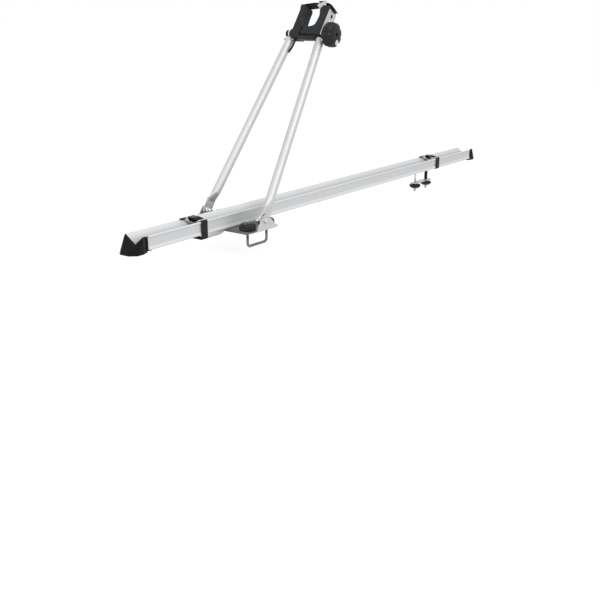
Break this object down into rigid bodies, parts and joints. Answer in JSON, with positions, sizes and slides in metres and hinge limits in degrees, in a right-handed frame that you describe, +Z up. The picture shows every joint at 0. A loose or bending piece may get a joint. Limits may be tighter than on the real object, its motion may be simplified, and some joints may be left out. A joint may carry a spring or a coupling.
{
  "type": "roof mounted bike carrier",
  "caption": "Roof bike carrier: aluminium V-channel rail on a clamping base plate, twin leaning tube arms with a locking frame clamp, wheel straps and a sliding rear bar clamp.",
  "frame": {"origin": "the seat on the front roof bar: middle of the base plate's underside, between the legs of the two U-bolts", "axes": "+X along the rail to its rear end, +Y to the far side (across the car), +Z up"},
  "size_m": [1.488, 0.1906, 0.5319],
  "materials": {
    "rail_aluminium": "natural anodised, satin",
    "zinc_steel": "bright zinc plated",
    "tube_steel": "bright zinc plated tube, smooth",
    "dark_steel": "dull plated round bar",
    "black_steel": "black, satin powder coat",
    "black_plastic": "black, slightly shiny moulding",
    "grey_plastic": "dark grey, fine grained moulding",
    "knob_plastic": "black, soft sheen",
    "pad_rubber": "bluish black, ribbed",
    "webbing": "black woven webbing",
    "chrome_lock": "polished"
  },
  "bodies": {
    "base": {"rail": "rail_aluminium", "front_end_cap": "black_plastic", "rear_end_cap": "black_plastic", "rail_saddle": "zinc_steel", "base_plate": "black_steel", "base_bolts": "zinc_steel", "base_nuts": "zinc_steel", "near_ear": "zinc_steel", "far_ear": "zinc_steel", "near_pivot_bolt": "zinc_steel", "near_pivot_nut": "zinc_steel", "near_pivot_washer": "zinc_steel", "near_friction_washer": "black_plastic", "far_pivot_bolt": "zinc_steel", "far_pivot_nut": "zinc_steel", "far_pivot_washer": "zinc_steel", "far_friction_washer": "black_plastic", "front_wheel_strap": "webbing", "front_buckle_frame": "zinc_steel", "front_buckle_pin": "zinc_steel"},
    "arms": {"near_arm": "tube_steel", "far_arm": "tube_steel", "head_yoke": "grey_plastic", "head_bolts": "zinc_steel", "far_jaw": "grey_plastic", "far_jaw_pad": "pad_rubber", "clamp_bolt": "zinc_steel", "bolt_spacer": "zinc_steel", "bolt_cap": "black_plastic", "head_strap": "webbing", "strap_tail": "webbing"},
    "near_jaw_body": {"near_jaw": "grey_plastic", "near_jaw_pad": "pad_rubber", "jaw_plate": "zinc_steel", "jaw_screws": "zinc_steel", "head_buckle_frame": "zinc_steel", "head_buckle_pin": "zinc_steel", "strap_flap": "webbing"},
    "big_knob": {"clamp_knob": "knob_plastic", "knob_insert": "zinc_steel"},
    "lock": {"lock_cylinder": "chrome_lock"},
    "head_lever": {"head_buckle_lever": "zinc_steel"},
    "front_lever": {"front_buckle_lever": "black_plastic"},
    "near_u": {"near_u_bolt": "dark_steel"},
    "far_u": {"far_u_bolt": "dark_steel"},
    "near_front_k": {"near_front_knob": "knob_plastic"},
    "near_rear_k": {"near_rear_knob": "knob_plastic"},
    "far_front_k": {"far_front_knob": "knob_plastic"},
    "far_rear_k": {"far_rear_knob": "knob_plastic"},
    "rear_strap": {"rear_wheel_strap": "webbing", "rear_buckle_frame": "zinc_steel", "rear_buckle_pin": "zinc_steel"},
    "rear_lever": {"rear_buckle_lever": "black_plastic"},
    "rear_clamp": {"rear_clamp_front_bolt": "zinc_steel", "rear_clamp_rear_bolt": "zinc_steel", "rear_clamp_sleeve": "black_plastic"},
    "rear_strip": {"rear_clamp_strip": "zinc_steel"},
    "rear_front_k": {"rear_clamp_front_knob": "knob_plastic"},
    "rear_rear_k": {"rear_clamp_rear_knob": "knob_plastic"}
  },
  "joints": [
    {"name": "arm_fold", "type": "hinge", "parent": "base", "child": "arms", "pos_m": [0.0025, 0, 0.0215], "axis": [0, -1, 0], "range_deg": [-36, 45]},
    {"name": "near_jaw_slide", "type": "slide", "parent": "arms", "child": "near_jaw_body", "axis": [0, -1, 0], "range_m": [0, 0.017]},
    {"name": "clamp_knob_turn", "type": "hinge", "parent": "near_jaw_body", "child": "big_knob", "pos_m": [0.27552, -0.06, 0.40284], "axis": [0, -1, 0], "range_deg": [0, 4896.2]},
    {"name": "lock_turn", "type": "hinge", "parent": "big_knob", "child": "lock", "pos_m": [0.27881, -0.075, 0.38597], "axis": [0, -1, 0], "range_deg": [0, 90]},
    {"name": "head_lever_turn", "type": "hinge", "parent": "near_jaw_body", "child": "head_lever", "pos_m": [0.31947, -0.026, 0.46423], "axis": [0.8131, 0, -0.5821], "range_deg": [0, 100]},
    {"name": "front_lever_turn", "type": "hinge", "parent": "base", "child": "front_lever", "pos_m": [-0.12675, 0.0135, 0.0384], "axis": [-1, 0, 0], "range_deg": [0, 100]},
    {"name": "near_u_bolt_lift", "type": "slide", "parent": "base", "child": "near_u", "axis": [0, 0, 1], "range_m": [0, 0.01]},
    {"name": "near_front_knob_turn", "type": "hinge", "parent": "base", "child": "near_front_k", "pos_m": [-0.03275, -0.066, 0.01], "axis": [0, 0, 1], "range_deg": [0, 3600.2]},
    {"name": "near_rear_knob_turn", "type": "hinge", "parent": "base", "child": "near_rear_k", "pos_m": [0.03275, -0.066, 0.01], "axis": [0, 0, 1], "range_deg": [0, 3600.2]},
    {"name": "far_u_bolt_lift", "type": "slide", "parent": "base", "child": "far_u", "axis": [0, 0, 1], "range_m": [0, 0.01]},
    {"name": "far_front_knob_turn", "type": "hinge", "parent": "base", "child": "far_front_k", "pos_m": [-0.03275, 0.066, 0.01], "axis": [0, 0, 1], "range_deg": [0, 3600.2]},
    {"name": "far_rear_knob_turn", "type": "hinge", "parent": "base", "child": "far_rear_k", "pos_m": [0.03275, 0.066, 0.01], "axis": [0, 0, 1], "range_deg": [0, 3600.2]},
    {"name": "rear_strap_slide", "type": "slide", "parent": "base", "child": "rear_strap", "axis": [1, 0, 0], "range_m": [0, 0.18]},
    {"name": "rear_lever_turn", "type": "hinge", "parent": "rear_strap", "child": "rear_lever", "pos_m": [0.89825, 0.0135, 0.0384], "axis": [-1, 0, 0], "range_deg": [0, 100]},
    {"name": "rear_clamp_slide", "type": "slide", "parent": "base", "child": "rear_clamp", "axis": [-1, 0, 0], "range_m": [0, 0.15]},
    {"name": "rear_strip_drop", "type": "slide", "parent": "rear_clamp", "child": "rear_strip", "axis": [0, 0, -1], "range_m": [0, 0.008]},
    {"name": "rear_front_knob_turn", "type": "hinge", "parent": "rear_strip", "child": "rear_front_k", "pos_m": [0.81475, 0, -0.038], "axis": [0, 0, -1], "range_deg": [0, 2880.2]},
    {"name": "rear_rear_knob_turn", "type": "hinge", "parent": "rear_strip", "child": "rear_rear_k", "pos_m": [0.87875, 0, -0.038], "axis": [0, 0, -1], "range_deg": [0, 2880.2]}
  ],
  "couplings": [
    {"joint": "clamp_knob_turn", "follows": "near_jaw_slide", "rad_per_m": 5026.5},
    {"joint": "near_front_knob_turn", "follows": "near_u_bolt_lift", "rad_per_m": 6283.2},
    {"joint": "near_rear_knob_turn", "follows": "near_u_bolt_lift", "rad_per_m": 6283.2},
    {"joint": "far_front_knob_turn", "follows": "far_u_bolt_lift", "rad_per_m": 6283.2},
    {"joint": "far_rear_knob_turn", "follows": "far_u_bolt_lift", "rad_per_m": 6283.2},
    {"joint": "rear_front_knob_turn", "follows": "rear_strip_drop", "rad_per_m": 6283.2},
    {"joint": "rear_rear_knob_turn", "follows": "rear_strip_drop", "rad_per_m": 6283.2}
  ]
}
